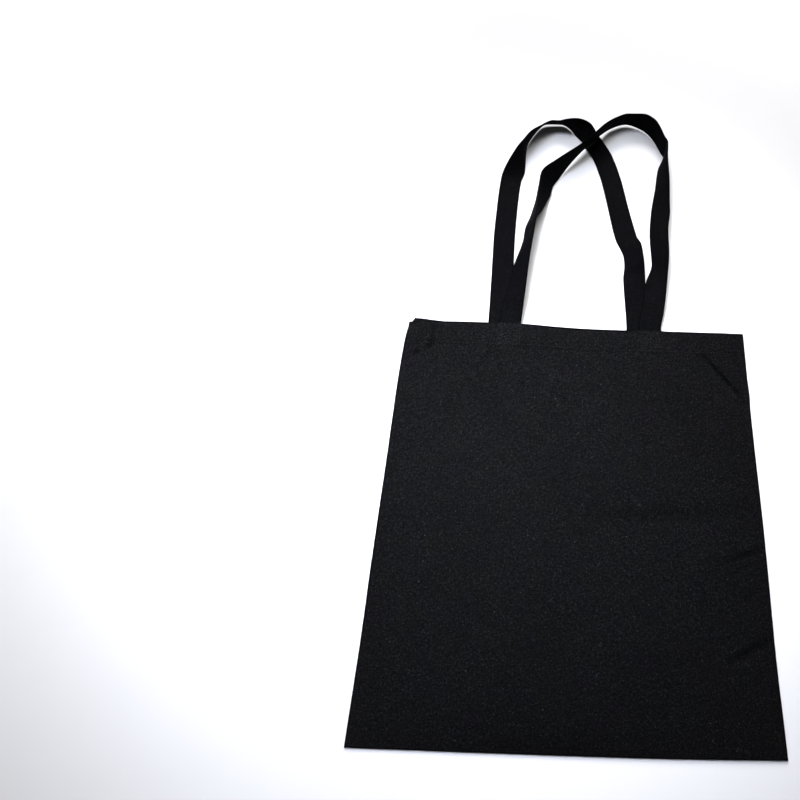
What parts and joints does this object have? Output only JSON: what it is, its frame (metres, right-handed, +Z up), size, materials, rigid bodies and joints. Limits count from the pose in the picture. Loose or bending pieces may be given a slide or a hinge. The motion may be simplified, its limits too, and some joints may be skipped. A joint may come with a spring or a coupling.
{
  "type": "tote bag",
  "caption": "Flat rectangular canvas tote bag lying on its back, with an open hemmed mouth and long strap handles that stand on edge round their loops and swing over the mouth.",
  "frame": {"origin": "middle of the bag's underside, on the surface that it lies on", "axes": "+X across the bag, +Y from the bottom seam to the mouth and on to the handles, +Z up from the surface"},
  "size_m": [0.38, 0.74, 0.0306],
  "materials": {
    "canvas": "matte plain-weave cotton canvas, near black, linty",
    "strap": "matte woven cotton strap, near black",
    "thread": "matte sewing thread, near black"
  },
  "bodies": {
    "bag": {"front_panel": "canvas", "back_panel": "canvas", "front_hem": "canvas", "back_hem": "canvas", "left_seam_allowance": "canvas", "right_seam_allowance": "canvas", "bottom_seam_allowance": "canvas", "front_handle_end_left": "strap", "front_handle_end_right": "strap", "back_handle_end_left": "strap", "back_handle_end_right": "strap", "front_hem_stitches": "thread", "back_hem_stitches": "thread", "front_tack_left": "thread", "front_tack_right": "thread", "back_tack_left": "thread", "back_tack_right": "thread", "left_seam_stitches": "thread", "right_seam_stitches": "thread", "bottom_seam_stitches": "thread"},
    "front_handle": {"front_handle": "strap"},
    "back_handle": {"back_handle": "strap"}
  },
  "joints": [
    {"name": "front_handle_swing", "type": "hinge", "parent": "bag", "child": "front_handle", "pos_m": [0, 0.211, 0.0095], "axis": [1, 0, 0], "range_deg": [0, 165]},
    {"name": "back_handle_swing", "type": "hinge", "parent": "bag", "child": "back_handle", "pos_m": [0, 0.211, 0.0095], "axis": [1, 0, 0], "range_deg": [0, 165]}
  ],
  "couplings": [
    {"joint": "back_handle_swing", "follows": "front_handle_swing", "ratio": 1}
  ]
}
